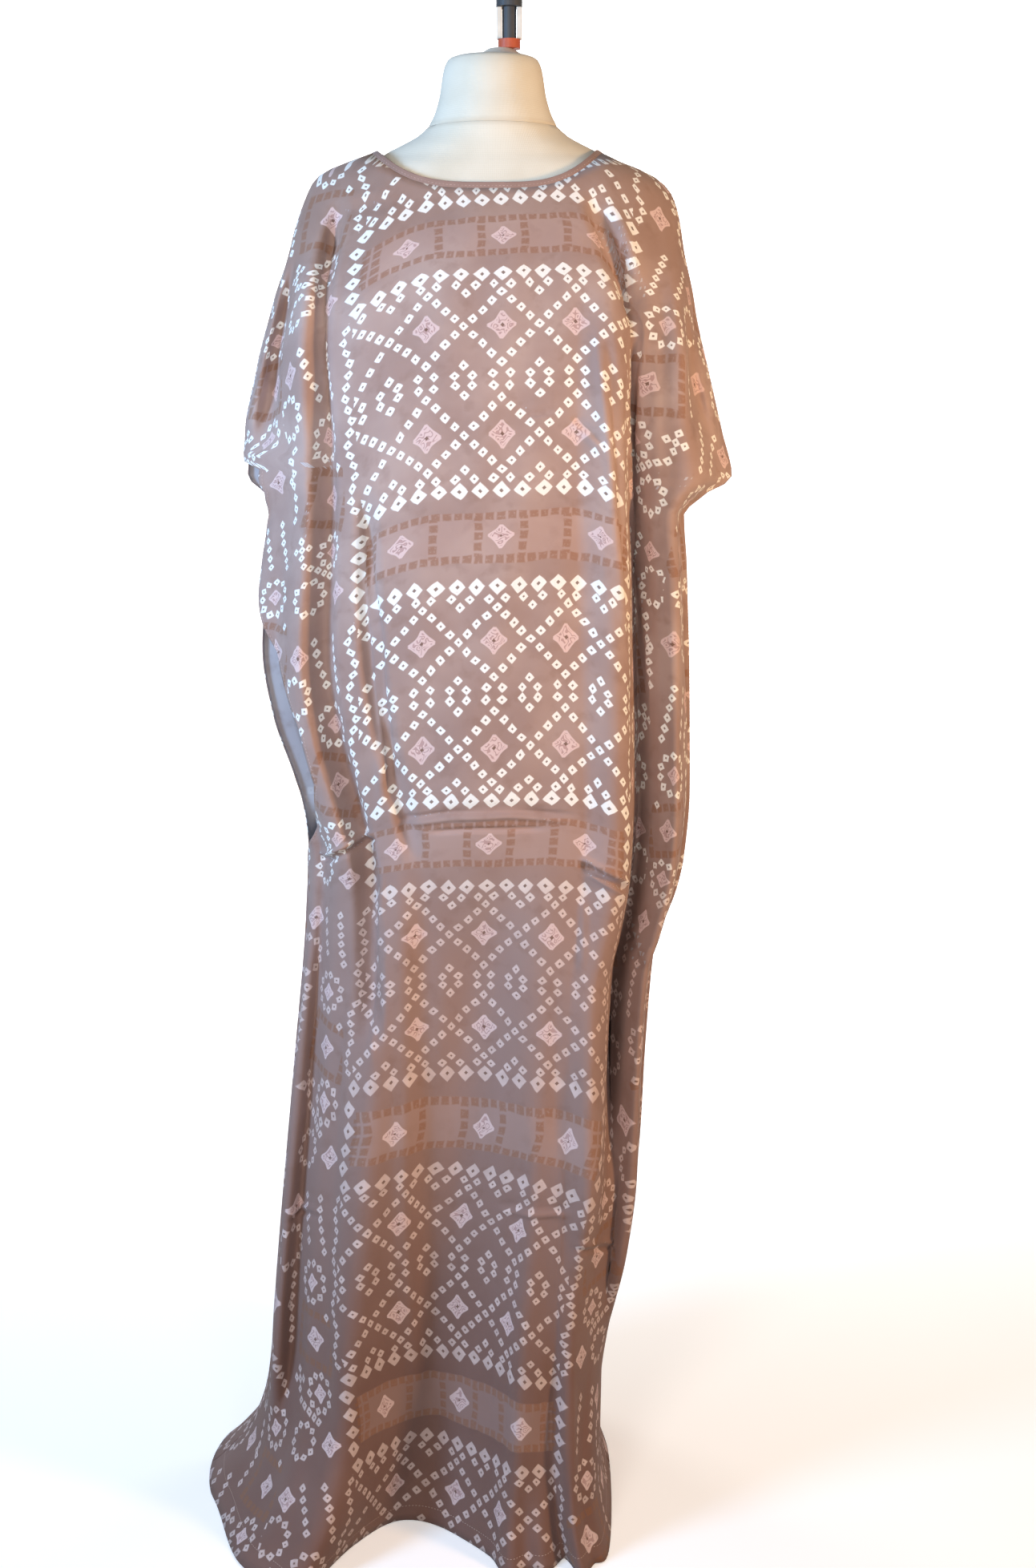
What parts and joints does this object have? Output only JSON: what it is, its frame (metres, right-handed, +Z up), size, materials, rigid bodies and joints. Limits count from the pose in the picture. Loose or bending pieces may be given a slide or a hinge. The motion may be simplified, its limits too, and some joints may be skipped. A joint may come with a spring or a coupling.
{
  "type": "baati dress on dress form",
  "caption": "Loose ankle-length printed cotton baati dress with open side armholes, draped on a limbless dress form.",
  "frame": {"origin": "on the floor, at the middle of the stand's base, under the pole", "axes": "+Z up the pole; the front of the dress faces -Y; the wearer's right side, left in the picture, is at -X"},
  "size_m": [0.5928, 0.4915, 1.6582],
  "materials": {
    "printed_cotton": "matt printed cotton",
    "binding_cotton": "matt cotton",
    "cream_jersey": "matt jersey",
    "white_plastic": "satin",
    "orange_plastic": "satin",
    "grey_plastic": "satin",
    "pole_steel": "brushed",
    "black_iron": "black powder coat"
  },
  "bodies": {
    "root": {"front_panel": "printed_cotton", "back_panel": "printed_cotton", "neck_binding": "binding_cotton", "form_torso": "cream_jersey", "form_neck": "cream_jersey", "neck_cap": "white_plastic", "pole_collar": "orange_plastic", "pole_end": "grey_plastic", "left_cheek": "white_plastic", "right_cheek": "white_plastic", "pole_finial": "grey_plastic", "stand_pole": "pole_steel", "pole_socket": "black_iron", "stand_base": "black_iron"}
  },
  "joints": []
}
